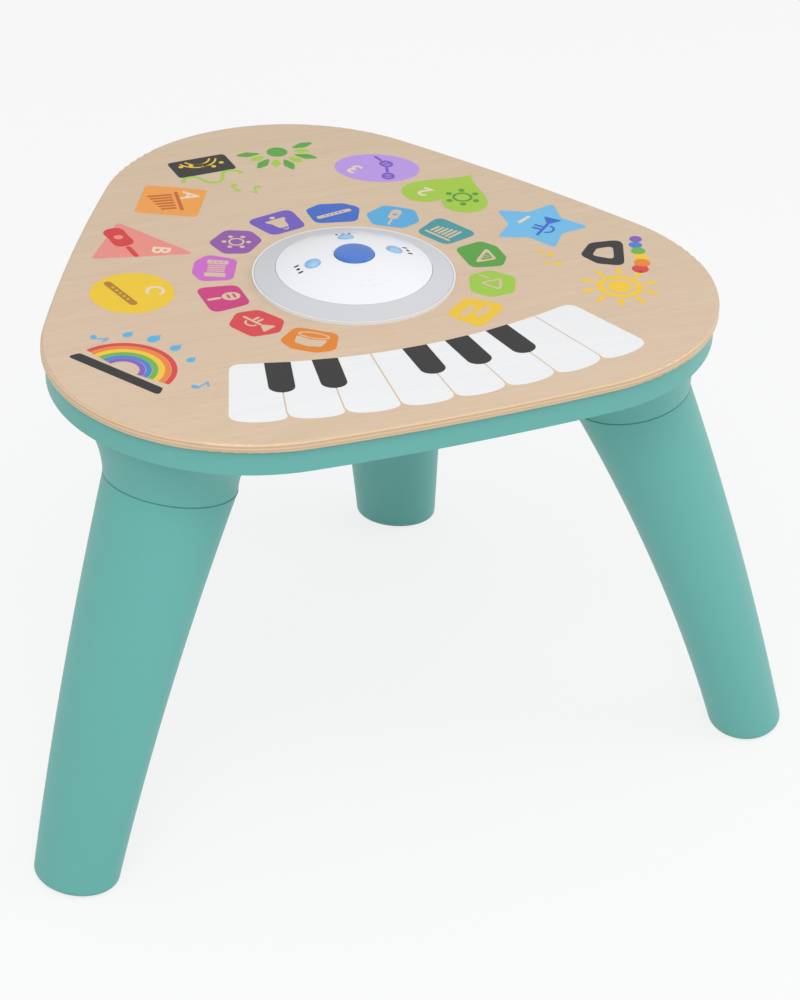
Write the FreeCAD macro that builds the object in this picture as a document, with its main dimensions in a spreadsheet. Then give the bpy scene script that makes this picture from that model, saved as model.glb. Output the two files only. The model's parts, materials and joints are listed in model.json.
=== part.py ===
import math
import os
import re

import FreeCAD
import Part
import Sketcher
from FreeCAD import Placement, Rotation, Vector

# A three-legged musical activity table for a small child, in millimetres.
# +Z is up, the feet stand on Z = 0, and the straight front with the keyboard faces -Y.
# The origin is on the floor under the middle of the table's bounding box.

os.makedirs("parts", exist_ok=True)
doc = FreeCAD.newDocument("activity_table")
sheet = doc.addObject("Spreadsheet::Sheet", "Size")

# Driving dimensions: alias, value, meaning
SIZES = [
    ("table_height", 358.0, "floor to playing surface"),
    ("corner_centre", 120.0, "table centre to the centre of a corner arc"),
    ("corner_radius", 146.0, "radius of a tabletop corner"),
    ("side_radius", 1802.0, "radius of a gently bowed tabletop side"),
    ("top_thick", 8.0, "plywood thickness"),
    ("top_edge_round", 2.0, "rounding of the plywood edge"),
    ("top_hole", 66.0, "radius of the hole for the light module"),
    ("film_thick", 0.5, "touch sensor film"),
    ("film_inset", 14.0, "tabletop edge to film edge"),
    ("film_hole", 80.0, "radius of the film's middle opening"),
    ("skirt_inset", 3.0, "tabletop edge to skirt"),
    ("skirt_depth", 18.0, "height of the skirt under the plywood"),
    ("shell_wall", 2.5, "wall of the underbody"),
    ("seam_drop", 76.0, "playing surface to the leg seam"),
    ("seam_reach", 206.0, "table centre to the leg's middle at the seam"),
    ("foot_reach", 314.0, "table centre to the foot's middle"),
    ("leg_bow", 6.8, "outward bow of a leg at half its height"),
    ("seam_tilt", 10.0, "tilt of the seam plane in degrees"),
    ("leg_wide_seam", 98.7, "leg across at the seam"),
    ("leg_wide_mid", 82.0, "leg across at half height"),
    ("leg_wide_foot", 66.0, "leg across at the foot"),
    ("leg_deep_seam", 89.2, "leg front to back at the seam"),
    ("leg_deep_mid", 67.5, "leg front to back at half height"),
    ("leg_deep_foot", 56.0, "leg front to back at the foot"),
    ("leg_wall", 3.0, "wall of a leg"),
    ("foot_floor", 8.0, "thickness of the closed foot"),
    ("foot_round", 4.0, "rounding of the foot's edge"),
    ("spigot_length", 22.0, "plug on top of a leg"),
    ("spigot_gap", 0.4, "clearance round the plug"),
    ("plug_lean", 0.13, "inward run of the plug for each millimetre upwards"),
    ("rear_inset", 59.0, "how much nearer the middle the rear leg stands"),
    ("left_azimuth", 210.0, "direction of the front left leg"),
    ("right_azimuth", 330.0, "direction of the front right leg"),
    ("rear_azimuth", 58.0, "direction of the rear leg"),
    ("pad_thick", 2.0, "anti-slip pad"),
    ("pad_proud", 0.8, "how far the pad stands out of the foot"),
    ("pad_margin", 8.0, "foot edge to pad edge"),
    ("fit_gap", 0.3, "clearance between parts that are put together"),
    ("lock_screw", 2.0, "radius of a leg lock screw"),
    ("lock_drop", 64.0, "playing surface to the leg lock screw"),
    ("module_radius", 74.1, "outer radius of the light module"),
    ("module_flange", 1.2, "bezel flange thickness"),
    ("lip_height", 2.4, "bezel lip above the wood"),
    ("lip_wide", 1.3, "width of the bezel lip"),
    ("neck_gap", 0.5, "bezel neck to the hole in the wood"),
    ("neck_wall", 2.0, "wall of the bezel neck"),
    ("ledge_radius", 60.0, "inner radius of the ledge under the dome"),
    ("retainer_thick", 2.5, "clamp ring under the tabletop"),
    ("retainer_wide", 12.0, "width of the clamp ring"),
    ("dome_radius", 57.0, "outer radius of the dome"),
    ("dome_base", 7.4, "dome edge above the wood"),
    ("dome_crown", 19.0, "dome's imagined peak above the wood"),
    ("dome_wall", 2.0, "dome wall"),
    ("dome_flange", 5.5, "width of the dome's clamped rim"),
    ("button_radius", 14.6, "mode button"),
    ("button_height", 20.6, "button top above the wood"),
    ("button_travel", 1.6, "travel of the mode button"),
    ("lens_radius", 5.8, "indicator lens"),
    ("lens_ring", 32.0, "middle of the dome to a lens"),
    ("lens_proud", 2.4, "lens above the dome"),
    ("board_thick", 1.6, "circuit board"),
    ("led_board_radius", 56.0, "light board"),
    ("led_board_drop", 2.0, "playing surface to the light board's underside"),
    ("switch_side", 6.0, "tact switch width"),
    ("switch_height", 3.5, "tact switch body"),
    ("plunger_radius", 1.7, "tact switch plunger"),
    ("plunger_show", 2.0, "plunger above the switch body"),
    ("pan_radius", 80.5, "outer radius of the bottom cover's pan"),
    ("pan_shift_x", -12.0, "pan's middle from the table's middle"),
    ("pan_shift_y", -19.0, "pan's middle from the table's middle"),
    ("pan_drop", 44.0, "playing surface to the pan's underside"),
    ("pan_flange", 10.0, "width of the pan's flange"),
    ("door_length", 76.0, "battery door"),
    ("door_width", 54.0, "battery door"),
    ("door_y", 5.0, "battery door's middle from the cells' middle"),
    ("door_screw_in", 6.0, "door edge to its screw"),
    ("door_thick", 1.6, "battery door plate"),
    ("door_x", 33.0, "battery door's middle from the pan's middle"),
    ("door_lift", 40.0, "how far the battery door drops when taken off"),
    ("cell_radius", 7.1, "AA cell"),
    ("cell_length", 50.0, "AA cell"),
    ("speaker_radius", 25.0, "speaker flange"),
    ("speaker_x", -38.0, "speaker from the pan's middle"),
    ("speaker_y", -22.0, "speaker from the pan's middle"),
    ("main_x", -27.0, "main board from the pan's middle"),
    ("main_y", 37.0, "main board from the pan's middle"),
    ("main_length", 46.0, "main board"),
    ("main_width", 32.0, "main board"),
    ("main_rise", 7.0, "pan floor to the main board"),
    ("slider_travel", 4.0, "half travel of a slide switch"),
    ("slider_gap", 22.0, "distance between the two slide switches"),
    ("wood_screw", 1.9, "radius of a tabletop screw"),
    ("small_screw", 1.3, "radius of a machine screw"),
]

sheet.set("A1", "name")
sheet.set("B1", "value")
sheet.set("C1", "meaning")
for line, (alias, value, meaning) in enumerate(SIZES, start=2):
    sheet.set(f"A{line}", alias)
    sheet.set(f"B{line}", str(value))
    sheet.setAlias(f"B{line}", alias)
    sheet.set(f"C{line}", meaning)
doc.recompute()
NAMES = {alias for alias, _, _ in SIZES}


def size(alias):
    """The value of one driving dimension."""
    return float(sheet.get(alias))


# Values that follow from the driving dimensions
SIDE_CENTRE = math.sqrt(
    (size("side_radius") - size("corner_radius")) ** 2 - 0.75 * size("corner_centre") ** 2
) - size("corner_centre") / 2
SIDE_REACH = size("side_radius") - SIDE_CENTRE
CENTRE_Y = (SIDE_REACH - size("corner_centre") - size("corner_radius")) / 2

nodes = {}


def linked(text):
    """An expression in which every size name points at its cell."""
    text = str(text)
    return re.sub(r"[a-z_]+", lambda m: "Size." + m.group(0) if m.group(0) in NAMES else m.group(0), text)


def bind(item, **fields):
    for name, text in fields.items():
        item.setExpression(name.replace("__", "."), linked(text))
    return item


def place(item, x="0", y="0", z="0", centred=True):
    """Put a piece at x, y from the table's middle, or from its own axis when not centred."""
    shift = f" + ({CENTRE_Y:.6f})" if centred else ""
    return bind(item, Placement__Base__x=x, Placement__Base__y=f"{y}{shift}", Placement__Base__z=z)


def cylinder(radius, height, x="0", y="0", z="0", centred=True):
    item = doc.addObject("Part::Cylinder", "round")
    bind(item, Radius=radius, Height=height)
    return place(item, x, y, z, centred)


def cone(low, high, height, x="0", y="0", z="0"):
    item = doc.addObject("Part::Cone", "taper")
    bind(item, Radius1=low, Radius2=high, Height=height)
    return place(item, x, y, z)


def block(length, width, height, x="0", y="0", z="0"):
    """A box whose middle is at x, y and whose underside is at z."""
    item = doc.addObject("Part::Box", "block")
    bind(item, Length=length, Width=width, Height=height)
    return place(item, f"{x} - ({length}) / 2", f"{y} - ({width}) / 2", z)


def cut(base, *tools):
    item = doc.addObject("Part::Cut", "cut")
    item.Base = base
    item.Tool = tools[0] if len(tools) == 1 else fuse(*tools)
    return item


def fuse(*shapes):
    item = doc.addObject("Part::MultiFuse", "fuse")
    item.Shapes = list(shapes)
    return item


def common(first, second):
    item = doc.addObject("Part::Common", "common")
    item.Base = first
    item.Tool = second
    return item


def group(*shapes):
    """Separate equal pieces that share one node."""
    item = doc.addObject("Part::Compound", "group")
    item.Links = list(shapes)
    return item


def node(name, item):
    item.Label = name
    nodes[name] = item
    return item


def turn(item, azimuth):
    """Turn a radial piece about the table's middle to its azimuth."""
    item.Placement = Placement(Vector(0, CENTRE_Y, 0), Rotation(Vector(0, 0, 1), size(azimuth)))
    return item


def revolved(name, points, x="0", y="0", z="table_height"):
    """A body turned about the Z axis; points are (radius, height) pairs of expressions."""
    body = doc.addObject("PartDesign::Body", name)
    plane = next(p for p in body.Origin.OriginFeatures if p.Role == "XZ_Plane")
    sketch = body.newObject("Sketcher::SketchObject", name + "_profile")
    sketch.AttachmentSupport = [(plane, "")]
    sketch.MapMode = "FlatFace"
    corners = [Vector(number(r), number(h), 0) for r, h in points]
    for i, corner in enumerate(corners):
        sketch.addGeometry(Part.LineSegment(corner, corners[(i + 1) % len(corners)]), False)
    for i, (r, h) in enumerate(points):
        sketch.addConstraint(Sketcher.Constraint("Coincident", i - 1 if i else len(points) - 1, 2, i, 1))
    for i, (r, h) in enumerate(points):
        for axis, text in (("DistanceX", r), ("DistanceY", h)):
            at = sketch.addConstraint(Sketcher.Constraint(axis, -1, 1, i, 1, number(text)))
            sketch.setExpression(f"Constraints[{at}]", linked(text))
    turned = body.newObject("PartDesign::Revolution", name + "_turned")
    turned.Profile = sketch
    turned.ReferenceAxis = (sketch, ["V_Axis"])
    turned.Angle = 360
    place(body, x, y, z)
    return body


def number(text):
    """The value of an expression made of sizes and plain arithmetic."""
    return doc_value(linked(text))


def doc_value(text):
    return float(sheet.evalExpression(text))


# Tabletop outline: three corner arcs joined by three gently bowed sides
def towards(angle):
    return Vector(math.cos(math.radians(angle)), math.sin(math.radians(angle)), 0)


def outline_wire(inset):
    """The outline drawn in by inset, which shortens every arc's radius by as much."""
    radius = size("corner_radius") - inset
    side = size("side_radius") - inset
    edges = []
    for angle in (90, 210, 330):
        here = towards(angle) * size("corner_centre")
        following = towards(angle + 120) * size("corner_centre")
        far = towards(angle + 60) * -SIDE_CENTRE
        next_far = towards(angle + 180) * -SIDE_CENTRE
        start = far + (here - far).normalize() * side
        end = far + (following - far).normalize() * side
        next_start = next_far + (following - next_far).normalize() * side
        edges.append(Part.Arc(start, far + towards(angle + 60) * side, end).toShape())
        edges.append(Part.Arc(end, following + towards(angle + 120) * radius, next_start).toShape())
    return Part.Wire(edges)


def slab(inset, height, z):
    """A plate with the tabletop's outline, drawn in by inset."""
    source = doc.addObject("Part::Feature", "outline")
    source.Shape = outline_wire(number(inset))
    source.Placement = Placement(Vector(0, CENTRE_Y, 0), Rotation())
    plate = doc.addObject("Part::Extrusion", "plate")
    plate.Base = source
    plate.Dir = Vector(0, 0, 1)
    plate.Solid = True
    bind(plate, LengthFwd=height)
    plate.setExpression("Placement.Base.z", linked(z))
    return plate


# Screw places round the table, as azimuth and distance from the middle
TOP_SCREWS = [(245, 192), (295, 192), (8, 192), (90, 222), (130, 192), (172, 192)]


def polar(angle, radius):
    """x and y expressions of a point given by azimuth and radius."""
    a = math.radians(angle)
    return f"({radius}) * ({math.cos(a):.6f})", f"({radius}) * ({math.sin(a):.6f})"


# Tabletop
def tabletop():
    plate = slab("0", "top_thick", "table_height - top_thick")
    doc.recompute()
    rounded = doc.addObject("Part::Fillet", "rounded_plate")
    rounded.Base = plate
    radius = size("top_edge_round")
    low = size("table_height") - size("top_thick")
    flat = [
        i
        for i, edge in enumerate(plate.Shape.Edges, start=1)
        if abs(edge.BoundBox.ZLength) < 1e-6 and edge.BoundBox.ZMax >= low
    ]
    rounded.Edges = [(i, radius, radius) for i in flat]
    holes = [cylinder("top_hole", "top_thick + 2", z="table_height - top_thick - 1")]
    for angle, reach in TOP_SCREWS:
        x, y = polar(angle, reach)
        holes.append(cylinder("wood_screw + 0.1", "7", x, y, "table_height - top_thick - 1"))
    for angle in (45, 135, 225, 315):
        x, y = polar(angle, BEZEL_SCREW_RING)
        holes.append(cylinder("small_screw + 0.2", "top_thick + 2", x, y, "table_height - top_thick - 1"))
    node("tabletop_panel", cut(rounded, *holes))


BEZEL_SCREW_RING = "(top_hole + module_radius) / 2"


def sensor_film():
    z = "table_height - top_thick - film_thick"
    holes = [cylinder("film_hole", "film_thick + 2", z=z + " - 1")]
    for angle, reach in TOP_SCREWS:
        x, y = polar(angle, reach)
        holes.append(cylinder("7", "film_thick + 2", x, y, z + " - 1"))
    node("touch_sensor_film", cut(slab("film_inset", "film_thick", z), *holes))


# Legs and their collars share one axis line and one set of oval sections
def axis_point(share, inset):
    """Reach and height on the leg's axis; share is 0 at the seam and 1 at the foot."""
    bow = 4 * share * (1 - share)
    reach = f"seam_reach + (foot_reach - seam_reach) * {share} + leg_bow * {bow:.6f} - {inset}"
    height = f"(table_height - seam_drop) * {1 - share:.6f} + pad_proud * {share}"
    return reach, height


def section(share, shrink, inset, extra_z="0"):
    """One oval of the leg, made smaller all round by shrink."""
    a, b, c = (1 - share) * (1 - 2 * share), 4 * share * (1 - share), share * (2 * share - 1)
    wide = f"(leg_wide_seam * {a:.6f} + leg_wide_mid * {b:.6f} + leg_wide_foot * {c:.6f}) / 2 - {shrink}"
    deep = f"(leg_deep_seam * {a:.6f} + leg_deep_mid * {b:.6f} + leg_deep_foot * {c:.6f}) / 2 - {shrink}"
    reach, height = axis_point(share, inset)
    return oval(wide, deep, reach, f"{height} + {extra_z}", f"seam_tilt * {1 - share:.6f}")


def oval(wide, deep, reach, height, tilt):
    """An ellipse, long across and short along the leg's outward direction."""
    item = doc.addObject("Part::Ellipse", "oval")
    bind(item, MajorRadius=wide, MinorRadius=deep)
    angle = number(tilt)
    item.Placement = Placement(Vector(), Rotation(Vector(0, 1, 0), -angle) * Rotation(Vector(0, 0, 1), 90))
    return place(item, reach, "0", height, centred=False)


def loft(*sections):
    item = doc.addObject("Part::Loft", "loft")
    item.Sections = list(sections)
    item.Solid = True
    item.Ruled = False
    return item


def lean():
    """Outward run of the leg's axis for each millimetre upwards, at the seam."""
    run = size("foot_reach") - size("seam_reach") + 4 * size("leg_bow")
    return -run / (size("table_height") - size("seam_drop"))


SHARES = (0, 0.25, 0.5, 0.75, 1)


def plug(inset, thin, low, high):
    """The plug's outside, made thinner all round, between two steps above the seam."""
    reach, height = axis_point(0, inset)
    wide = f"leg_wide_seam / 2 - shell_wall - spigot_gap - ({thin})"
    deep = f"leg_deep_seam / 2 - shell_wall - spigot_gap - ({thin})"
    ends = [
        oval(wide, deep, f"{reach} - plug_lean * ({step})", f"{height} + {step}", "seam_tilt")
        for step in (low, high)
    ]
    return loft(*ends)


def leg(name, azimuth, inset):
    outer = loft(*[section(s, "0", inset) for s in SHARES])
    inner_low = "foot_floor"
    inner = loft(
        section(0, "leg_wall", inset, "1"),
        *[section(s, "leg_wall", inset) for s in SHARES[1:-1]],
        section(1, "leg_wall", inset, inner_low),
    )
    doc.recompute()
    rounded = doc.addObject("Part::Fillet", "rounded_foot")
    rounded.Base = outer
    low = [i for i, e in enumerate(outer.Shape.Edges, start=1) if e.BoundBox.ZMax < size("pad_proud") + 1]
    rounded.Edges = [(i, size("foot_round"), size("foot_round")) for i in low]
    plug_ring = cut(
        plug(inset, "0", "-4", "spigot_length"),
        plug(inset, "leg_wall", "-8", "spigot_length + 1"),
    )
    foot_reach, _ = axis_point(1, inset)
    recess = cylinder_oval("pad_margin - fit_gap", foot_reach, "-1", "pad_thick + 1")
    lock = lock_hole(inset, "lock_screw")
    shell = cut(fuse(cut(rounded, inner), plug_ring), recess, lock)
    node(name, turn(shell, azimuth))


def cylinder_oval(margin, reach, z, height):
    """An upright oval disc that follows the foot's edge at a margin."""
    face = oval(f"leg_wide_foot / 2 - ({margin})", f"leg_deep_foot / 2 - ({margin})", reach, z, "0")
    disc = doc.addObject("Part::Extrusion", "disc")
    disc.Base = face
    disc.Dir = Vector(0, 0, 1)
    disc.Solid = True
    bind(disc, LengthFwd=height)
    return disc


def foot_pad(name, azimuth, inset):
    reach, _ = axis_point(1, inset)
    node(name, turn(cylinder_oval("pad_margin", reach, "0", "pad_thick"), azimuth))


def lock_reach(inset):
    """Reach of the collar's inner wall where the lock screw goes in."""
    return f"seam_reach - {inset} - leg_deep_seam / 2"


def rod(radius, length, reach, height):
    """A round bar that lies along the outward direction."""
    item = doc.addObject("Part::Cylinder", "rod")
    bind(item, Radius=radius, Height=length)
    item.Placement = Placement(Vector(), Rotation(Vector(0, 1, 0), 90))
    return place(item, reach, "0", height, centred=False)


def lock_hole(inset, radius):
    return rod(f"{radius} + 0.1", "40", f"{lock_reach(inset)} - 12", "table_height - lock_drop")


def lock_screw(azimuth, inset):
    head = rod("lock_screw * 2", "2", f"{lock_reach(inset)} - 6.8", "table_height - lock_drop")
    shank = rod("lock_screw", "14", f"{lock_reach(inset)} - 5", "table_height - lock_drop")
    return turn(fuse(head, shank), azimuth)


def collar(azimuth, inset, shrink, below):
    """The flared oval neck that reaches down from the underbody to a leg."""
    reach, height = axis_point(0, inset)
    flare = [
        ("118", "112", f"seam_reach - 56 - {inset}", "table_height - top_thick + 1", "0"),
        ("82", "66", f"seam_reach - 14 - {inset}", "table_height - top_thick - skirt_depth", "4"),
        ("60", "51", f"seam_reach - 4 - {inset}", "table_height - 46", "7"),
    ]
    rings = [oval(f"{w} - {shrink}", f"{d} - {shrink}", r, z, t) for w, d, r, z, t in flare]
    wide, deep = f"leg_wide_seam / 2 - {shrink}", f"leg_deep_seam / 2 - {shrink}"
    rings.append(
        oval(wide, deep, f"{reach} + ({lean():.6f}) * (-({below}))", f"{height} - {below}", "seam_tilt")
    )
    return turn(loft(*rings), azimuth)


LEGS = [
    ("front_left", "left_azimuth", "0"),
    ("front_right", "right_azimuth", "0"),
    ("rear", "rear_azimuth", "rear_inset"),
]


def underbody():
    floor_z = "table_height - top_thick - skirt_depth"
    prism = slab("skirt_inset", "table_height", "-top_thick")
    skirt = slab("skirt_inset", "skirt_depth", floor_z)
    inner_prism = slab("skirt_inset + shell_wall", "table_height", "1 - top_thick")
    cavity = slab("skirt_inset + shell_wall", "skirt_depth", floor_z + " + shell_wall")
    outside = [skirt]
    inside = [cavity]
    for _, azimuth, inset in LEGS:
        outside.append(common(collar(azimuth, inset, "0", "0"), prism))
        inside.append(common(collar(azimuth, inset, "shell_wall", "2"), inner_prism))
    shell = cut(fuse(*outside), fuse(*inside))
    bosses, holes = [], []
    for angle, reach in TOP_SCREWS:
        x, y = polar(angle, reach)
        bosses.append(cylinder("5.5", "skirt_depth - 0.5", x, y, floor_z + " + 0.5"))
        holes.append(cylinder("wood_screw + 0.2", "skirt_depth + 2", x, y, floor_z + " - 1"))
        holes.append(cylinder("wood_screw * 2 + 0.3", "4", x, y, floor_z + " - 1"))
    for x, y in pan_screw_places():
        bosses.append(cylinder("4", "9", x, y, floor_z + " + 0.5"))
        holes.append(cylinder("small_screw + 0.1", "8", x, y, floor_z + " - 1"))
    holes.append(cylinder("pan_radius + fit_gap", "4", "pan_shift_x", "pan_shift_y", floor_z + " - 1"))
    for _, azimuth, inset in LEGS:
        holes.append(turn(group(lock_hole(inset, "lock_screw")), azimuth))
        seat = rod("lock_screw * 2 + 0.3", "7.2", f"{lock_reach(inset)} - 12", "table_height - lock_drop")
        holes.append(turn(group(seat), azimuth))
        socket = plug(inset, "0.05 - spigot_gap", "-1", "spigot_length + 1")
        holes.append(turn(group(socket), azimuth))
    node("underbody_shell", cut(fuse(shell, *bosses), *holes))


def pan_screw_places():
    """Places of the four screws that hold the bottom cover."""
    places = []
    for angle in (45, 135, 225, 315):
        x, y = polar(angle, "pan_radius + pan_flange / 2")
        places.append((f"pan_shift_x + {x}", f"pan_shift_y + {y}"))
    return places


# Light module in the middle of the tabletop
def bezel():
    points = [
        ("top_hole - neck_gap - neck_wall", "-top_thick - retainer_thick"),
        ("top_hole - neck_gap", "-top_thick - retainer_thick"),
        ("top_hole - neck_gap", "0"),
        ("module_radius", "0"),
        ("module_radius", "lip_height"),
        ("module_radius - lip_wide", "lip_height"),
        ("module_radius - lip_wide", "module_flange"),
        ("ledge_radius", "module_flange"),
        ("ledge_radius", "0"),
        ("top_hole - neck_gap - neck_wall", "0"),
    ]
    ring = revolved("bezel_turned", points)
    holes = []
    for angle in (45, 135, 225, 315):
        x, y = polar(angle, BEZEL_SCREW_RING)
        holes.append(cylinder("small_screw + 0.1", "module_flange", x, y, "table_height - 0.3"))
    node("module_bezel", cut(ring, *holes))


def retaining_ring():
    z = "table_height - top_thick - retainer_thick"
    ring = cylinder("top_hole - neck_gap + fit_gap + retainer_wide", "retainer_thick", z=z)
    hole = cylinder("top_hole - neck_gap + fit_gap", "retainer_thick + 2", z=z + " - 1")
    holes = [hole]
    for angle in (45, 135, 225, 315):
        x, y = polar(angle, BEZEL_SCREW_RING)
        holes.append(cylinder("small_screw + 0.2", "retainer_thick + 2", x, y, z + " - 1"))
    node("bezel_clamp_ring", cut(ring, *holes))


def screw(radius, length, x, y, z):
    """A screw driven upwards: its head's upper face is at z."""
    head = cylinder(f"{radius} * 2", f"{radius}", x, y, f"{z} - {radius}")
    shank = cylinder(radius, length, x, y, z)
    slot = block(f"{radius} * 3", "0.7", f"{radius} / 2", x, y, f"{z} - {radius} - 0.1")
    return cut(fuse(head, shank), slot)


def screw_groups():
    clamp = []
    for angle in (45, 135, 225, 315):
        x, y = polar(angle, BEZEL_SCREW_RING)
        z = "table_height - top_thick - retainer_thick"
        clamp.append(screw("small_screw", "top_thick + retainer_thick + 0.8", x, y, z))
    node("bezel_screws", group(*clamp))
    wood = []
    for angle, reach in TOP_SCREWS:
        x, y = polar(angle, reach)
        z = "table_height - top_thick - skirt_depth + 3"
        wood.append(screw("wood_screw", "skirt_depth + 2.5", x, y, z))
    node("tabletop_screws", group(*wood))
    z = "table_height - top_thick - skirt_depth - shell_wall"
    node("bottom_cover_screws", group(*[screw("small_screw", "9", x, y, z) for x, y in pan_screw_places()]))
    node("leg_lock_screws", group(*[lock_screw(azimuth, inset) for _, azimuth, inset in LEGS]))


def light_ring():
    inner = "dome_radius + fit_gap"
    over = "dome_radius + dome_flange + fit_gap"
    points = [
        (over, "module_flange"),
        ("module_radius - lip_wide - fit_gap", "module_flange"),
        ("module_radius - lip_wide - fit_gap", "lip_height"),
        (inner, "dome_base - 0.2"),
        (inner, "module_flange + 2.3"),
        (over, "module_flange + 2.3"),
    ]
    node("light_ring", revolved("light_ring_turned", points))


def sphere_radius():
    """Radius of the dome's outer sphere."""
    rise = size("dome_crown") - size("dome_base")
    return (size("dome_radius") ** 2 + rise ** 2) / (2 * rise)


def dome_point(radius):
    """Height of the dome's outer face above the wood, at a radius."""
    big = sphere_radius()
    return size("dome_crown") - big + math.sqrt(big ** 2 - radius ** 2)


def ball(radius):
    item = doc.addObject("Part::Sphere", "ball")
    item.Radius = radius
    return place(item, z=f"table_height + dome_crown - {sphere_radius():.6f}")


def lens_axis(angle):
    """Placement at the dome's outer face, with Z along the dome's normal."""
    reach = size("lens_ring")
    a = math.radians(angle)
    tilt = math.degrees(math.asin(reach / sphere_radius()))
    at = Vector(reach * math.cos(a), reach * math.sin(a) + CENTRE_Y, size("table_height") + dome_point(reach))
    return Placement(at, Rotation(Vector(0, 0, 1), angle) * Rotation(Vector(0, 1, 0), tilt))


LENSES = [("left", 178), ("back", 79), ("right", 2)]


def tilted(kind, angle, low, **fields):
    """A primitive that stands on the dome's normal, low millimetres from its face."""
    item = doc.addObject(kind, "tilted")
    bind(item, **fields)
    item.Placement = lens_axis(angle).multiply(Placement(Vector(0, 0, low), Rotation()))
    return item


def dome():
    outer = common(ball(sphere_radius()), cylinder("dome_radius", "dome_crown", z="table_height + module_flange"))
    hollow = common(
        ball(sphere_radius() - size("dome_wall")),
        cylinder("dome_radius - dome_wall", "dome_crown", z="table_height + module_flange - 1"),
    )
    flange = cylinder("dome_radius + dome_flange", "2", z="table_height + module_flange")
    opening = cylinder("dome_radius - dome_wall", "4", z="table_height + module_flange - 1")
    shell = cut(fuse(outer, flange), fuse(hollow, opening))
    posts, tools = [], [cylinder("button_radius + 0.5", "40", z="table_height")]
    post_low = "table_height - led_board_drop + board_thick"
    for angle in (30, 120, 230, 310):
        x, y = polar(angle, "led_board_radius - 12")
        post = cylinder("3.2", "dome_base + 6.5 + led_board_drop - board_thick", x, y, post_low)
        posts.append(common(post, ball(sphere_radius() - size("dome_wall") / 2)))
        tools.append(cylinder("small_screw + 0.1", "7", x, y, post_low + " - 1"))
    for _, angle in LENSES:
        tools.append(tilted("Part::Cylinder", angle, -6, Radius="lens_radius + fit_gap / 2", Height="20"))
    node("dome_cover", cut(fuse(shell, *posts), *tools))


def lenses():
    for name, angle in LENSES:
        stem = tilted("Part::Cylinder", angle, -5, Radius="lens_radius", Height="5.6")
        flange = tilted("Part::Cylinder", angle, -5, Radius="lens_radius + 1.4", Height="2.4")
        cap = tilted("Part::Sphere", angle, -5, Radius="8.6")
        core = tilted("Part::Cylinder", angle, 0, Radius="lens_radius", Height="lens_proud + 2")
        bind(cap, Radius="lens_proud + 5")
        node(f"indicator_lens_{name}", fuse(stem, flange, common(cap, core)))


def mode_button():
    stem_low = "switch_height + board_thick + plunger_show - led_board_drop"
    points = [
        ("0", stem_low),
        ("4", stem_low),
        ("4", "button_height - 10"),
        ("button_radius + 1.6", "button_height - 10"),
        ("button_radius + 1.6", "button_height - 7.4"),
        ("button_radius", "button_height - 7.4"),
        ("button_radius", "button_height - 2"),
        ("button_radius - 0.5", "button_height - 1.1"),
        ("button_radius - 1.6", "button_height - 0.6"),
        ("button_radius * 0.55", "button_height - 0.1"),
        ("0", "button_height"),
    ]
    node("mode_button", revolved("mode_button_turned", points))


def switch():
    base_z = "table_height - led_board_drop + board_thick"
    body = block("switch_side", "switch_side", "switch_height", z=base_z)
    bore = cylinder("plunger_radius + 0.1", "switch_height", z=base_z + " + 0.6")
    node("mode_switch", cut(body, bore))
    plunger = cylinder("plunger_radius", "plunger_show + 1", z=base_z + " + switch_height - 1")
    node("mode_switch_plunger", plunger)


def led_board():
    z = "table_height - led_board_drop"
    holes = []
    screws = []
    for angle in (30, 120, 230, 310):
        x, y = polar(angle, "led_board_radius - 12")
        holes.append(cylinder("small_screw + 0.2", "board_thick + 2", x, y, z + " - 1"))
        screws.append(screw("small_screw", "7", x, y, z))
    node("light_board", cut(cylinder("led_board_radius", "board_thick", z=z), *holes))
    node("light_board_screws", group(*screws))
    top = z + " + board_thick"
    ring = []
    for i in range(12):
        x, y = polar(15 + 30 * i, "led_board_radius - 4")
        ring.append(block("3.4", "2.8", "1.6", x, y, top))
    node("ring_leds", group(*ring))
    single = []
    for _, angle in LENSES:
        x, y = polar(angle, "lens_ring - 1.5")
        single.append(block("3.4", "2.8", "1.6", x, y, top))
    node("indicator_leds", group(*single))


# Bottom cover with everything that it carries
PAN_FLOOR = "table_height - pan_drop + shell_wall"


def pan_xy(x, y):
    return f"pan_shift_x + {x}", f"pan_shift_y + {y}"


def grille_holes():
    """Round sound holes in rings under the speaker."""
    holes = []
    for ring, count in ((0, 1), (6.5, 6), (13, 12), (19, 18)):
        for i in range(count):
            x, y = polar(360 * i / count, ring)
            px, py = pan_xy(f"speaker_x + {x}", f"speaker_y + {y}")
            holes.append(cylinder("1.5", "shell_wall + 2", px, py, "table_height - pan_drop - 1"))
    return holes


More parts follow.
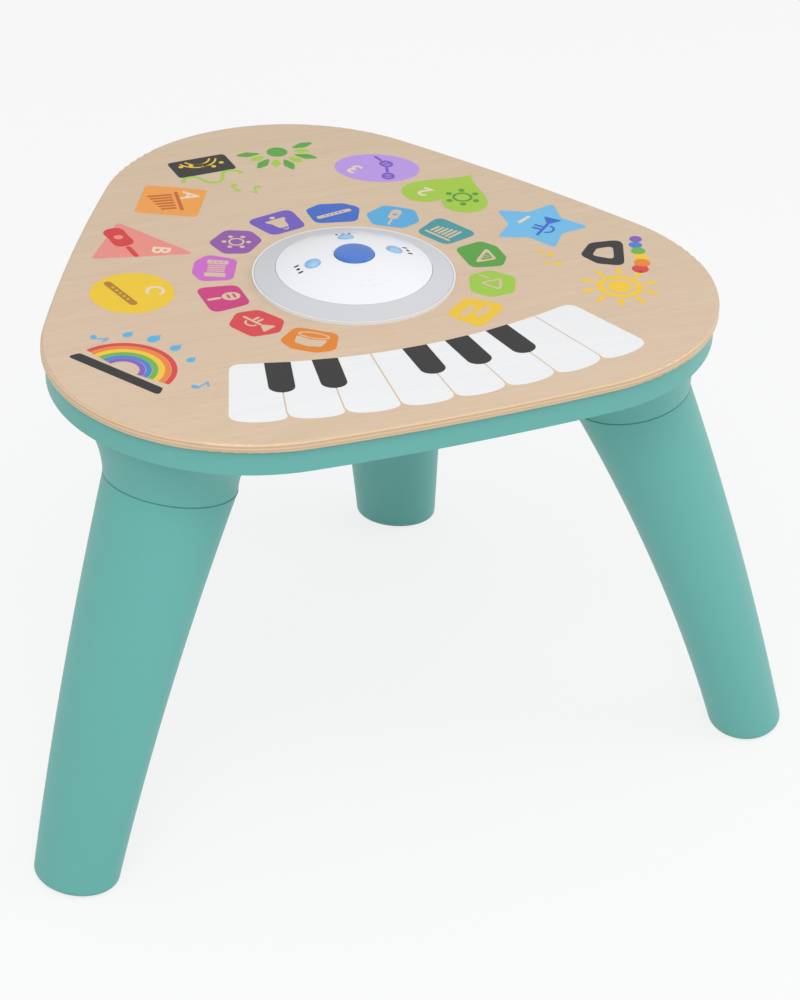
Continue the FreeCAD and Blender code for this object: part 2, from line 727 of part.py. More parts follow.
def bottom_cover():
    low = "table_height - pan_drop"
    flange_z = "table_height - top_thick - skirt_depth - shell_wall"
    cx, cy = "pan_shift_x", "pan_shift_y"
    dish = cylinder("pan_radius", "pan_drop - top_thick - skirt_depth + shell_wall", cx, cy, low)
    flange = cylinder("pan_radius + pan_flange", "shell_wall", cx, cy, flange_z)
    hollow = cylinder("pan_radius - shell_wall", "pan_drop", cx, cy, PAN_FLOOR)
    solid = cut(fuse(dish, flange), hollow)
    dx, dy = pan_xy("door_x", "0")
    door_y = f"{dy} + door_y"
    posts = [cylinder("3.6", "8", dx, door_screw_y(), PAN_FLOOR + " - 0.6")]
    for sx, sy in ((-1, -1), (1, -1), (-1, 1), (1, 1)):
        px, py = pan_xy(f"main_x + {sx} * (main_length / 2 - 3)", f"main_y + {sy} * (main_width / 2 - 3)")
        posts.append(cylinder("2.6", "main_rise", px, py, PAN_FLOOR))
    for sx in (-1, 1):
        px, py = pan_xy(f"speaker_x + {sx} * (speaker_radius + 2.2)", "speaker_y")
        posts.append(cylinder("2.2", "2", px, py, PAN_FLOOR))
    tools = grille_holes()
    tools.append(block("6 * cell_radius + 4", "cell_length + 8", "shell_wall + 2", dx, dy, low + " - 1"))
    rebate = "door_thick + 1.1"
    tools.append(block("door_width + 2 * fit_gap", "door_length + 2 * fit_gap", rebate, dx, door_y, low + " - 1"))
    tools.append(cylinder("small_screw + 0.1", "12", dx, door_screw_y(), low + " - 1"))
    for side in (-1, 1):
        px, py = pan_xy(f"main_x + {side} * slider_gap / 2", "main_y")
        tools.append(block("4.6", "6.6 + 2 * slider_travel", "shell_wall + 2", px, py, low + " - 1"))
    for x, y in pan_screw_places():
        tools.append(cylinder("small_screw + 0.2", "shell_wall + 2", x, y, flange_z + " - 1"))
    for sx, sy in ((-1, -1), (1, -1), (-1, 1), (1, 1)):
        px, py = pan_xy(f"main_x + {sx} * (main_length / 2 - 3)", f"main_y + {sy} * (main_width / 2 - 3)")
        tools.append(cylinder("small_screw + 0.1", "main_rise", px, py, PAN_FLOOR + " + 1"))
    node("bottom_cover", cut(fuse(solid, *posts), *tools))


def door_screw_y():
    return pan_xy("0", "door_y + door_length / 2 - door_screw_in")[1]


def battery_door():
    low = "table_height - pan_drop"
    dx, dy = pan_xy("door_x", "door_y")
    plate = block("door_width", "door_length", "door_thick", dx, dy, low)
    screw_y = door_screw_y()
    hole = cylinder("small_screw + 0.2", "12", dx, screw_y, low + " - 1")
    sink = cylinder("small_screw * 2 + 0.3", "1.9", dx, screw_y, low + " - 1")
    ribs = [
        block("door_width * 0.5", "1.2", "0.8", dx, f"{dy} - door_length / 2 + {6 + 4 * i}", low + " - 0.2")
        for i in range(3)
    ]
    grooves = fuse(*ribs)
    node("battery_door", cut(plate, hole, sink, grooves))
    head = cylinder("small_screw * 2", "0.8", dx, screw_y, low + " + 0.1")
    shank = cylinder("small_screw", "7.5", dx, screw_y, low + " + 0.9")
    slot = block("small_screw * 3", "0.7", "0.5", dx, screw_y, low)
    node("battery_door_screw", cut(fuse(head, shank), slot))


def battery_box():
    """Open-bottomed tray over the door that holds three cells side by side."""
    dx, dy = pan_xy("door_x", "0")
    z = PAN_FLOOR
    wide, deep, tall = "6 * cell_radius + 4", "cell_length + 8", "2 * cell_radius + 3.5"
    shell = block(f"{wide} + 3", f"{deep} + 3", tall, dx, dy, z)
    room = block(wide, deep, f"{tall} - 1.5", dx, f"{dy}", f"{z} - 0.01")
    node("battery_tray", cut(shell, room))
    contacts = []
    for i in (-1, 0, 1):
        x = f"{dx} + {i} * (2 * cell_radius + 1)"
        for side in (-1, 1):
            y = f"{dy} + {side} * (cell_length / 2 + 2.9)"
            contacts.append(block("9", "1.8", "10", x, y, f"{z} + 2"))
        y = dy
        body = doc.addObject("Part::Cylinder", "cell")
        bind(body, Radius="cell_radius", Height="cell_length - 1.5")
        body.Placement = Placement(Vector(), Rotation(Vector(1, 0, 0), -90))
        place(body, x, f"{y} - cell_length / 2", f"{z} + cell_radius + 1.2")
        tip = doc.addObject("Part::Cylinder", "tip")
        bind(tip, Radius="2.6", Height="cell_length")
        tip.Placement = Placement(Vector(), Rotation(Vector(1, 0, 0), -90))
        place(tip, x, f"{y} - cell_length / 2", f"{z} + cell_radius + 1.2")
        node(f"battery_cell_{i + 2}", fuse(body, tip))
    node("battery_contacts", group(*contacts))


def speaker():
    sx, sy = pan_xy("speaker_x", "speaker_y")
    z = PAN_FLOOR
    rim = cylinder("speaker_radius", "2", sx, sy, z)
    basket = cone("speaker_radius - 1.5", "14.5", "9", sx, sy, f"{z} + 1.5")
    hollow = cone("speaker_radius - 2.7", "13.3", "9.4", sx, sy, f"{z} + 1.2")
    mouth = cylinder("speaker_radius - 2.7", "3", sx, sy, f"{z} - 1")
    back = cylinder("14.5", "1.5", sx, sy, f"{z} + 10")
    bore = cylinder("7", "4", sx, sy, f"{z} + 9")
    node("speaker_frame", cut(fuse(rim, basket, back), hollow, mouth, bore))
    paper = cone("speaker_radius - 3.4", "7", "6.4", sx, sy, f"{z} + 1.6")
    paper_hollow = cone("speaker_radius - 3.8", "6.6", "6.4", sx, sy, f"{z} + 1.1")
    cap = cylinder("6.9", "0.6", sx, sy, f"{z} + 7")
    coil = cylinder("6", "6", sx, sy, f"{z} + 7")
    node("speaker_cone", fuse(cut(paper, paper_hollow), cap, coil))
    node("speaker_magnet", cut(cylinder("13.5", "8", sx, sy, f"{z} + 11.5"), cylinder("6.4", "2", sx, sy, f"{z} + 11")))
    clips = []
    for side in (-1, 1):
        x = f"{sx} + {side} * (speaker_radius + 2.2)"
        clips.append(cylinder("3.4", "1", x, sy, f"{z} + 2"))
    node("speaker_clips", group(*clips))


def main_board():
    mx, my = pan_xy("main_x", "main_y")
    z = PAN_FLOOR + " + main_rise"
    holes, screws = [], []
    for sx, sy in ((-1, -1), (1, -1), (-1, 1), (1, 1)):
        x = f"{mx} + {sx} * (main_length / 2 - 3)"
        y = f"{my} + {sy} * (main_width / 2 - 3)"
        holes.append(cylinder("small_screw + 0.2", "board_thick + 2", x, y, z + " - 1"))
        head = cylinder("small_screw * 1.9", "1.3", x, y, z + " + board_thick")
        shank = cylinder("small_screw", "board_thick + 5", x, y, z + " - 5")
        screws.append(fuse(head, shank))
    node("main_board", cut(block("main_length", "main_width", "board_thick", mx, my, z), *holes))
    node("main_board_screws", group(*screws))
    top = z + " + board_thick"
    node("sound_chip", block("10", "10", "1.4", f"{mx} - 8", f"{my} + 4", top))
    parts = [
        cylinder("3", "7", f"{mx} + 10", f"{my} + 3", top),
        cylinder("2.5", "6", f"{mx} + 10", f"{my} - 5", top),
        block("8", "3.4", "5", f"{mx} - 8", f"{my} - 7", top),
    ]
    node("board_components", group(*parts))
    for side, name in ((-1, "volume"), (1, "language")):
        x = f"{mx} + {side} * slider_gap / 2"
        case = block("5", "12", "3.2", x, my, z + " - 3.2")
        bay = block("2.2", "3.4 + 2 * slider_travel", "2", x, my, z + " - 3.3")
        node(f"{name}_switch", cut(case, bay))
        grip = block("4", "6", "shell_wall + 1.6", x, my, "table_height - pan_drop - 1.5")
        lip = block("6.4", "8", "1.2", x, my, PAN_FLOOR + " + 0.3")
        join = block("4", "6", "1", x, my, PAN_FLOOR + " - 0.2")
        lever = block("1.8", "2.8", "main_rise - 1.5 - 1.6", x, my, PAN_FLOOR + " + 1.4")
        nick = [
            block("5", "0.6", "0.5", x, f"{my} + {step}", "table_height - pan_drop - 1.6") for step in (-1.6, 0, 1.6)
        ]
        node(f"{name}_slider", cut(fuse(grip, join, lip, lever), *nick))


def ribbons():
    mx, my = pan_xy("main_x", "main_y")
    top = PAN_FLOOR + " + main_rise + board_thick"
    plug = block("10", "3.4", "4", f"{mx} - 2", f"{my} + 13.5", top)
    high = block("10", "3.4", "2.5", f"{mx} - 2", f"{my} + 13.5", "table_height - led_board_drop - 2.5")
    strip = block(
        "8", "0.6", f"pan_drop - led_board_drop - shell_wall - main_rise - board_thick - 6.5",
        f"{mx} - 2", f"{my} + 13.5", top + " + 4",
    )
    node("light_ribbon", strip)
    node("ribbon_sockets", group(plug, high))


tabletop()
sensor_film()
underbody()
for leg_name, leg_azimuth, leg_inset in LEGS:
    leg(f"leg_{leg_name}", leg_azimuth, leg_inset)
    foot_pad(f"foot_pad_{leg_name}", leg_azimuth, leg_inset)
bezel()
retaining_ring()
light_ring()
dome()
lenses()
mode_button()
switch()
led_board()
bottom_cover()
battery_door()
battery_box()
speaker()
main_board()
ribbons()
screw_groups()
doc.recompute()

for item in doc.Objects:
    if "Invalid" in item.State or "Error" in item.State:
        raise RuntimeError(f"{item.Label} ({item.Name}) failed: {item.State}")
for name, item in nodes.items():
    shape = item.Shape
    if shape.isNull() or not shape.isValid() or not shape.Solids:
        raise RuntimeError(f"{name} has no valid solid")
    shape.exportStep(f"parts/{name}.step")
    print(f"{name:24s} solids {len(shape.Solids)} volume {shape.Volume / 1000:.2f} cm3")
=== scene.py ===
import json
from math import atan2, cos, degrees, hypot, pi, radians, sin, sqrt

import bmesh
import bpy
from mathutils import Matrix, Vector


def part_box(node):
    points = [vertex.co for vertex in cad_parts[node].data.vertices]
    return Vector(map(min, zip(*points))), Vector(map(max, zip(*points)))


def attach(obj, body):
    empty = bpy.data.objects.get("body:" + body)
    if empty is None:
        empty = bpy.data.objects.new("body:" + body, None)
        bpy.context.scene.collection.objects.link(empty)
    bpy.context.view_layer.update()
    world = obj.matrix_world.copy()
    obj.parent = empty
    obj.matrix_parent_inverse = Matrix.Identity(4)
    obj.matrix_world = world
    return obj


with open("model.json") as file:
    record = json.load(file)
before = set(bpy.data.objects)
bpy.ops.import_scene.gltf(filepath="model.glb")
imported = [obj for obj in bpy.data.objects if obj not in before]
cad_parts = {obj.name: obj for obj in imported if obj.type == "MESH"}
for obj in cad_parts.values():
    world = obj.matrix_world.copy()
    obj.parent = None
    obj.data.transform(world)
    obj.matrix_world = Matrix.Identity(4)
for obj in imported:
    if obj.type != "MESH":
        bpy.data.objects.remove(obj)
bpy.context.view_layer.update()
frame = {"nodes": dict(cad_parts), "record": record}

MM = 0.001

# Places taken from the frame, in millimetres
_, top_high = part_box("tabletop_panel")
bezel_low, bezel_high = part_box("module_bezel")
WOOD = top_high[2] / MM
CENTRE = ((bezel_low[0] + bezel_high[0]) / 2 / MM, (bezel_low[1] + bezel_high[1]) / 2 / MM)

# Camera, fitted to the photograph: direction, roll, distance and aim point from the table's middle
VIEW_AZIMUTH = -23.95
VIEW_ELEVATION = 31.875
VIEW_ROLL = 1.893
VIEW_DISTANCE = 2073.7
VIEW_AIM = (-88.67, -295.6)
VIEW_LENS = 115.47

# Printed layout, in millimetres and degrees about the table's middle
TILE_RING = 100.5
TILE_START = 230.5
TILE_STEP = 25.7
PRINT_THICK = 0.12
PRINT_SINK = 0.05
LETTER_SIZE = 19
LETTER_BOLD = 0.4

# Plies on the tabletop's edge, in millimetres
TOP_THICK = 8
PLY_THICK = 2.7

# Light on the object, and how bright floor and sky are where they are looked at
WORLD_LEVEL = 0.66
KEY_WATTS = 12.0
SIDE_WATTS = 7.5
FLOOR_GLOW = 0.8
FLOOR_REACH = 6.0

# The dome's edge and crown above the wood, its radius, and the azimuths of its lenses
DOME_EDGE = 7.4
DOME_CROWN = 19.0
DOME_WIDE = 57.0
LENS_PLACES = (178, 79, 2)


class Value:
    """A node socket that can be used in a Python expression."""

    def __init__(self, paint, socket):
        self.paint = paint
        self.socket = socket

    def _maths(self, kind, first, second):
        out = self.paint.add("ShaderNodeMath", {"operation": kind}, {0: first, 1: second})
        return out[0]

    def __add__(self, other):
        return self._maths("ADD", self, other)

    def __radd__(self, other):
        return self._maths("ADD", other, self)

    def __sub__(self, other):
        return self._maths("SUBTRACT", self, other)

    def __rsub__(self, other):
        return self._maths("SUBTRACT", other, self)

    def __mul__(self, other):
        return self._maths("MULTIPLY", self, other)

    def __rmul__(self, other):
        return self._maths("MULTIPLY", other, self)

    def above(self, limit):
        return self._maths("GREATER_THAN", self, limit)

    def larger(self, other):
        return self._maths("MAXIMUM", self, other)

    def wrapped(self, period):
        return self._maths("FLOORED_MODULO", self, period)

    def size(self):
        return self.paint.add("ShaderNodeMath", {"operation": "ABSOLUTE"}, {0: self})[0]


class Paint:
    """A material's node tree, with one method that adds any node."""

    def __init__(self, name):
        self.material = bpy.data.materials.new(name)
        self.material.use_nodes = True
        self.tree = self.material.node_tree
        self.tree.nodes.clear()
        self.output = self.tree.nodes.new("ShaderNodeOutputMaterial")

    def add(self, kind, settings=None, inputs=None):
        node = self.tree.nodes.new(kind)
        for name, value in (settings or {}).items():
            if name == "stops":
                ramp = node.color_ramp.elements
                while len(ramp) < len(value):
                    ramp.new(0.5)
                for element, (place, colour) in zip(ramp, value):
                    element.position = place
                    element.color = colour
            else:
                setattr(node, name, value)
        for name, value in (inputs or {}).items():
            if isinstance(value, Value):
                self.tree.links.new(value.socket, node.inputs[name])
            else:
                node.inputs[name].default_value = value
        return [Value(self, socket) for socket in node.outputs]

    def place(self):
        return self.add("ShaderNodeTexCoord")[3]

    def stretched(self, scale, turn=(0, 0, 0)):
        inputs = {"Vector": self.place(), "Scale": scale, "Rotation": turn}
        return self.add("ShaderNodeMapping", None, inputs)[0]

    def noise(self, scale, detail=3.0, vector=None):
        source = vector if vector is not None else self.place()
        inputs = {"Vector": source, "Scale": scale, "Detail": detail}
        return self.add("ShaderNodeTexNoise", None, inputs)[0]

    def blend(self, amount, first, second):
        out = self.add("ShaderNodeMix", {"data_type": "RGBA"}, {"Factor": amount, 6: first, 7: second})
        return out[2]

    def bump(self, height, strength, depth):
        inputs = {"Height": height, "Strength": strength, "Distance": depth}
        return self.add("ShaderNodeBump", None, inputs)[0]

    def surface(self, **inputs):
        named = {name.replace("_", " "): value for name, value in inputs.items()}
        shader = self.add("ShaderNodeBsdfPrincipled", None, named)[0]
        self.tree.links.new(shader.socket, self.output.inputs["Surface"])
        return self.material


def ink(red, green, blue):
    """A colour given as it shows on screen, 0 to 255, as a linear colour."""
    parts = []
    for part in (red, green, blue):
        part /= 255
        parts.append(part / 12.92 if part <= 0.04045 else ((part + 0.055) / 1.055) ** 2.4)
    return (*parts, 1.0)


def shade(colour, factor):
    return (*[min(1.0, part * factor) for part in colour[:3]], 1.0)


def moulded_plastic(name, colour, roughness=0.42, texture=900.0, relief=0.05, coat=0.0):
    """Moulded plastic with a fine spark texture, faint flow marks and uneven gloss."""
    paint = Paint(name)
    flow = paint.noise(7.0, 2.0)
    grain = paint.noise(texture, 2.0)
    tone = paint.blend(flow, shade(colour, 0.955), shade(colour, 1.035))
    gloss = roughness - 0.06 + flow * 0.08 + grain * 0.05
    normal = paint.bump(grain, relief, 0.0002)
    return paint.surface(Base_Color=tone, Roughness=gloss, Normal=normal, Coat_Weight=coat)


def veneer_colour(paint):
    """Pale birch veneer: long soft streaks, fine pores and a slow warm drift."""
    streaks = paint.noise(1.0, 5.0, paint.stretched((9, 210, 60), (0, 0, 0.12)))
    pores = paint.noise(1.0, 3.0, paint.stretched((60, 1500, 300), (0, 0, 0.12)))
    drift = paint.noise(5.0, 2.0)
    base = paint.blend(drift, ink(224, 202, 176), ink(218, 193, 165))
    dark = paint.blend(streaks * 0.55, base, ink(200, 171, 140))
    return paint.blend(pores.above(0.62) * 0.22, dark, ink(186, 152, 118)), streaks, pores


def plywood(name):
    """Veneer on the flat faces and thin plies round the edge."""
    paint = Paint(name)
    face, streaks, pores = veneer_colour(paint)
    geometry = paint.add("ShaderNodeNewGeometry")
    normal = paint.add("ShaderNodeSeparateXYZ", None, {0: geometry[1]})
    height = paint.add("ShaderNodeSeparateXYZ", None, {0: paint.place()})[2]
    ply = (height * 1000 - WOOD + TOP_THICK).wrapped(PLY_THICK)
    glue = (ply - PLY_THICK / 2).size()
    fibre = paint.noise(1.0, 4.0, paint.stretched((260, 260, 2600)))
    edge = paint.blend(glue.above(0.62), ink(226, 198, 163), ink(205, 166, 124))
    edge = paint.blend(fibre * 0.5, edge, ink(238, 214, 182))
    flat = normal[2].size().above(0.86)
    tone = paint.blend(flat, edge, face)
    relief = paint.bump(streaks * 0.5 + pores * 0.5 + fibre * 0.2, 0.1, 0.0002)
    return paint.surface(Base_Color=tone, Roughness=0.4 + streaks * 0.12, Normal=relief, Coat_Weight=0.12)


def printed_ink(name, colour, gloss=0.42):
    """Ink printed on veneer: the wood's pores and streaks show faintly through."""
    paint = Paint(name)
    streaks = paint.noise(1.0, 4.0, paint.stretched((12, 260, 60), (0, 0, 0.12)))
    mottle = paint.noise(260.0, 2.0)
    tone = paint.blend(streaks * 0.5 + mottle * 0.3, shade(colour, 1.05), shade(colour, 0.9))
    relief = paint.bump(streaks + mottle * 0.3, 0.08, 0.0001)
    return paint.surface(Base_Color=tone, Roughness=gloss + mottle * 0.08, Normal=relief)


def brushed_metal(name, colour, roughness=0.32):
    paint = Paint(name)
    brush = paint.noise(1.0, 3.0, paint.stretched((900, 90, 900)))
    tone = paint.blend(brush, shade(colour, 0.85), shade(colour, 1.1))
    normal = paint.bump(brush, 0.12, 0.0001)
    return paint.surface(Base_Color=tone, Metallic=1.0, Roughness=roughness + brush * 0.15, Normal=normal)


def frosted_lens(name, colour, deep):
    """Clear tinted plastic over a darker cup, with painted shade that darkens it towards its rim as the
    surface turns from the view; glossy on top.
    """
    paint = Paint(name)
    facing = paint.add("ShaderNodeLayerWeight", None, {"Blend": 0.35})[1]
    swirl = paint.noise(240.0, 2.0)
    # Painted shade: the tint turns to the deep colour where the surface faces away from the view, round
    # the rim.
    tone = paint.blend(facing * 0.7 + swirl * 0.25, colour, deep)
    normal = paint.bump(swirl, 0.06, 0.0003)
    return paint.surface(Base_Color=tone, Roughness=0.1 + swirl * 0.06, Normal=normal, Coat_Weight=0.6)


def circuit_board(name):
    """Green solder mask with lighter tracks."""
    paint = Paint(name)
    inputs = {"Vector": paint.place(), "Scale": 260.0}
    tracks = paint.add("ShaderNodeTexVoronoi", {"feature": "DISTANCE_TO_EDGE"}, inputs)[0]
    tone = paint.blend(tracks.above(0.06), ink(70, 150, 90), ink(22, 92, 48))
    relief = paint.bump(tracks, 0.2, 0.0002)
    return paint.surface(Base_Color=tone, Roughness=0.35 + tracks * 0.2, Normal=relief)


TEAL = moulded_plastic("teal_moulding", ink(102, 181, 173), 0.44, 1100.0, 0.05, 0.05)
WHITE = moulded_plastic("white_moulding", ink(241, 243, 247), 0.26, 1300.0, 0.02, 0.35)
BEZEL = moulded_plastic("bezel_moulding", ink(232, 235, 239), 0.3, 1300.0, 0.02, 0.2)
FROST = moulded_plastic("frosted_ring", ink(208, 210, 214), 0.5, 1600.0, 0.04)
BLUE = moulded_plastic("blue_moulding", ink(66, 118, 205), 0.3, 1300.0, 0.03, 0.3)
GREY = moulded_plastic("grey_moulding", ink(150, 152, 156))
BLACK = moulded_plastic("black_moulding", ink(30, 30, 33), 0.5)
RUBBER = moulded_plastic("pad_rubber", ink(88, 120, 118), 0.78, 500.0, 0.25)
FILM = moulded_plastic("sensor_film", ink(206, 186, 120), 0.3, 700.0, 0.02)
CELL = moulded_plastic("cell_jacket", ink(66, 78, 88), 0.25, 1200.0, 0.02, 0.4)
RIBBON = moulded_plastic("ribbon_cable", ink(222, 222, 214), 0.5)
PAPER = moulded_plastic("speaker_paper", ink(40, 40, 42), 0.85, 420.0, 0.3)
MAGNET = moulded_plastic("ferrite", ink(56, 56, 60), 0.6, 300.0, 0.2)
STEEL = brushed_metal("zinc_steel", ink(190, 192, 196))
# The second colour of each lens is the painted shade laid round its rim.
LENS = frosted_lens("blue_lens", ink(168, 214, 244), ink(74, 140, 205))
LED = frosted_lens("led_resin", ink(246, 240, 214), ink(214, 200, 140))
BOARD = circuit_board("solder_mask")
PLYWOOD = plywood("birch_plywood")
KEY_WHITE = printed_ink("ink_white", ink(238, 239, 240), 0.34)
KEY_BLACK = printed_ink("ink_black", ink(27, 26, 30), 0.34)

FINISH = {
    "wood_top": PLYWOOD,
    "sensor_film": FILM,
    "teal_plastic": TEAL,
    "pad_rubber": RUBBER,
    "white_plastic": WHITE,
    "grey_plastic": GREY,
    "frosted_grey": FROST,
    "blue_lens": LENS,
    "blue_plastic": BLUE,
    "black_plastic": BLACK,
    "circuit_board": BOARD,
    "steel": STEEL,
    "led_white": LED,
    "cell_jacket": CELL,
    "speaker_paper": PAPER,
    "magnet": MAGNET,
    "ribbon_white": RIBBON,
}


def dress_nodes():
    """Give every node the finish of its material slot."""
    slots = {part["node"]: part["material_slot"] for part in frame["record"]["subparts"]}
    for name, item in frame["nodes"].items():
        item.data.materials.clear()
        item.data.materials.append(BEZEL if name == "module_bezel" else FINISH[slots[name]])


# Flat outlines, as lists of points in millimetres
def disc(x, y, wide, deep=None, steps=40):
    deep = wide if deep is None else deep
    return [(x + wide * cos(2 * pi * i / steps), y + deep * sin(2 * pi * i / steps)) for i in range(steps)]


def rounded(corners, radius, steps=6):
    """A polygon whose corners are replaced by arcs."""
    loop = []
    count = len(corners)
    for i, corner in enumerate(corners):
        here = Vector(corner)
        back = (Vector(corners[i - 1]) - here).normalized()
        ahead = (Vector(corners[(i + 1) % count]) - here).normalized()
        half = back.angle(ahead) / 2
        nearest = min((Vector(corners[j % count]) - here).length for j in (i - 1, i + 1))
        cutback = min(radius / max(0.05, abs(sin(half) / cos(half))), nearest * 0.48)
        start = here + back * cutback
        end = here + ahead * cutback
        for k in range(steps + 1):
            s = k / steps
            loop.append(tuple(start * (1 - s) ** 2 + here * 2 * s * (1 - s) + end * s * s))
    return loop


def bar(x1, y1, x2, y2, width, steps=7):
    """A straight stroke with round ends."""
    angle = atan2(y2 - y1, x2 - x1)
    loop = []
    for x, y, start in ((x2, y2, -pi / 2), (x1, y1, pi / 2)):
        for k in range(steps + 1):
            a = angle + start + pi * k / steps
            loop.append((x + width / 2 * cos(a), y + width / 2 * sin(a)))
    return loop


def band(x, y, inner, outer, start, end, steps=24):
    """A stretch of a ring."""
    turns = [radians(start + (end - start) * k / steps) for k in range(steps + 1)]
    loop = [(x + outer * cos(a), y + outer * sin(a)) for a in turns]
    return loop + [(x + inner * cos(a), y + inner * sin(a)) for a in reversed(turns)]


def moved(loops, x, y, angle=0.0, scale=1.0):
    c, s = cos(radians(angle)) * scale, sin(radians(angle)) * scale
    return [[(x + c * px - s * py, y + s * px + c * py) for px, py in loop] for loop in loops]


def facing_in(azimuth, radius):
    """Place and turn of a picture that is read from the table's edge."""
    return radius * cos(radians(azimuth)), radius * sin(radians(azimuth)), azimuth + 90


def flat_curve(name, loops, half_thick):
    """A filled flat curve; loops are about the table's middle."""
    curve = bpy.data.curves.new(name, "CURVE")
    curve.dimensions = "2D"
    curve.fill_mode = "BOTH"
    curve.extrude = half_thick * MM
    for loop in loops:
        spline = curve.splines.new("POLY")
        spline.points.add(len(loop) - 1)
        for point, (x, y) in zip(spline.points, loop):
            point.co = ((x + CENTRE[0]) * MM, (y + CENTRE[1]) * MM, 0, 1)
        spline.use_cyclic_u = True
    return curve


def print_half(layer):
    """Half the thickness of a printed layer, with the part sunk in the wood."""
    return (PRINT_THICK * layer + PRINT_SINK) / 2


def printed(name, loops, finish, layer=1):
    """A thin printed layer on the tabletop; loops are about the table's middle."""
    half = print_half(layer)
    curve = flat_curve(name, loops, half)
    return settled(name, curve, WOOD - PRINT_SINK + half, finish)


def settled(name, curve, height, finish):
    """Turn a flat curve into a closed mesh that lies at a height."""
    source = bpy.data.objects.new(name + "_curve", curve)
    bpy.context.scene.collection.objects.link(source)
    bpy.context.view_layer.update()
    mesh = bpy.data.meshes.new_from_object(source.evaluated_get(bpy.context.evaluated_depsgraph_get()))
    bpy.data.objects.remove(source)
    work = bmesh.new()
    work.from_mesh(mesh)
    bmesh.ops.remove_doubles(work, verts=work.verts, dist=1e-7)
    bmesh.ops.translate(work, verts=work.verts, vec=(0, 0, height * MM))
    bmesh.ops.recalc_face_normals(work, faces=work.faces)
    work.to_mesh(mesh)
    work.free()
    mesh.materials.clear()
    mesh.materials.append(finish)
    return piece(name, mesh, "table")


def piece(name, mesh, body):
    item = bpy.data.objects.new(name, mesh)
    bpy.context.scene.collection.objects.link(item)
    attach(item, body)
    return item


def letter(name, text, x, y, angle, size, finish, layer):
    """A plain capital or numeral in Blender's own typeface."""
    curve = bpy.data.curves.new(name, "FONT")
    curve.body = text
    curve.size = size * MM
    curve.align_x = "CENTER"
    curve.align_y = "CENTER"
    curve.offset = LETTER_BOLD * MM
    half = print_half(layer)
    curve.extrude = half * MM
    item = settled(name, curve, 0, finish)
    spot = Vector((x + CENTRE[0], y + CENTRE[1], WOOD - PRINT_SINK + half))
    place = Matrix.Translation(spot * MM)
    item.data.transform(place @ Matrix.Rotation(radians(angle), 4, "Z"))
    return item


# Twelve instrument signs, drawn as stencils about their own middle
def sign_drum():
    rim = [disc(0, 6, 12, 4.5), disc(0, 6, 10.2, 3.1)]
    body = [rounded([(-12, 2.5), (-10, -8), (0, -10.5), (10, -8), (12, 2.5), (0, -0.5)], 2)]
    return rim + body


def sign_shaker():
    return [disc(0, 6, 6, 7), disc(0, 8.5, 3.6, 1.0), disc(0, 4, 3.6, 1.0), bar(0, -3, 0, -11, 2.8)]


def sign_trumpet():
    horn = rounded([(5, 1.2), (13, 6.5), (13, -6.5), (5, -1.2)], 1)
    valves = [bar(x, 2.2, x, 6.5, 2) for x in (-5, -1)]
    return [bar(-13, 0, 3.6, 0, 2.2), horn, *valves, band(-3, -1.8, 4.2, 5.8, 190, 350)]


def sign_squeezebox():
    folds = [bar(x, -6, x, 6, 1.5) for x in (-4.5, -1.5, 1.5, 4.5)]
    ends = [rounded([(x - 3, -8), (x + 3, -8), (x + 3, 8), (x - 3, 8)], 1.5) for x in (-10, 10)]
    return folds + ends + [disc(-10, y, 1) for y in (-4, 0, 4)]


def sign_tambourine():
    jingles = [disc(9.3 * cos(radians(a)), 9.3 * sin(radians(a)), 1.9) for a in range(0, 360, 60)]
    return [disc(0, 0, 6.2), disc(0, 0, 4.6)] + jingles


def sign_bell():
    cup = rounded([(-4, 9), (4, 9), (6, 0), (10, -5.5), (-10, -5.5), (-6, 0)], 2.5)
    return [cup, disc(0, -8.6, 2.2), band(0, 10.5, 1.2, 2.4, 0, 180)]


def sign_whistle():
    tube = bar(-12, -5, 12, 5, 4.4)
    holes = [disc(x, x * 5 / 12, 0.9) for x in (-7, -3.5, 0, 3.5, 7)]
    return [tube] + holes


def sign_strings():
    turns = [2 * pi * k / 48 for k in range(48)]
    body = [(sin(a) * (5.6 + 1.6 * cos(2 * a)), -4.5 + 8 * cos(a)) for a in turns]
    return [body, disc(0, -4.5, 1.9), bar(0, 5.2, 0, 12.5, 2)]


def sign_chimes():
    tubes = [bar(x, 5.5, x, -4.5 - 1.1 * (3 - i), 2) for i, x in enumerate((-9, -5.4, -1.8, 1.8, 5.4, 9))]
    return tubes + [bar(-11.5, 9.2, 11.5, 9.2, 2.2)]


def sign_harp():
    frame_loop = rounded([(-10, -9), (-10, 9.5), (10, -9)], 2.5)
    inside = rounded([(-7.6, -6.8), (-7.6, 3.8), (3.8, -6.8)], 1.5)
    return [frame_loop, inside, bar(-4.6, -5.4, -4.6, 0.4, 0.8), bar(-1.9, -5.4, -1.9, -2.4, 0.8)]


def sign_triangle():
    outside = rounded([(-10, -7.5), (10, -7.5), (0, 10)], 3)
    inside = rounded([(-6.6, -5.5), (6.6, -5.5), (0, 6.2)], 1.6)
    return [outside, inside, bar(8, 3, 12.5, 9.5, 1.7)]


def sign_cymbals():
    return [disc(-3, 5, 9.5, 3.2), disc(-3, 5, 2, 0.9), disc(3, -4.5, 9.5, 3.2), disc(3, -4.5, 2, 0.9)]


SIGNS = [
    sign_drum, sign_trumpet, sign_shaker, sign_squeezebox, sign_tambourine, sign_bell,
    sign_whistle, sign_strings, sign_chimes, sign_harp, sign_triangle, sign_cymbals,
]

TILES = [
    ("orange", (226, 129, 22)), ("red", (217, 62, 70)), ("magenta", (204, 50, 126)),
    ("orchid", (206, 104, 200)), ("purple", (143, 84, 168)), ("indigo", (110, 88, 190)),
    ("royal", (52, 104, 200)), ("sky", (84, 172, 222)), ("teal", (62, 152, 158)),
    ("green", (84, 160, 56)), ("lime", (158, 202, 62)), ("yellow", (238, 196, 40)),
]

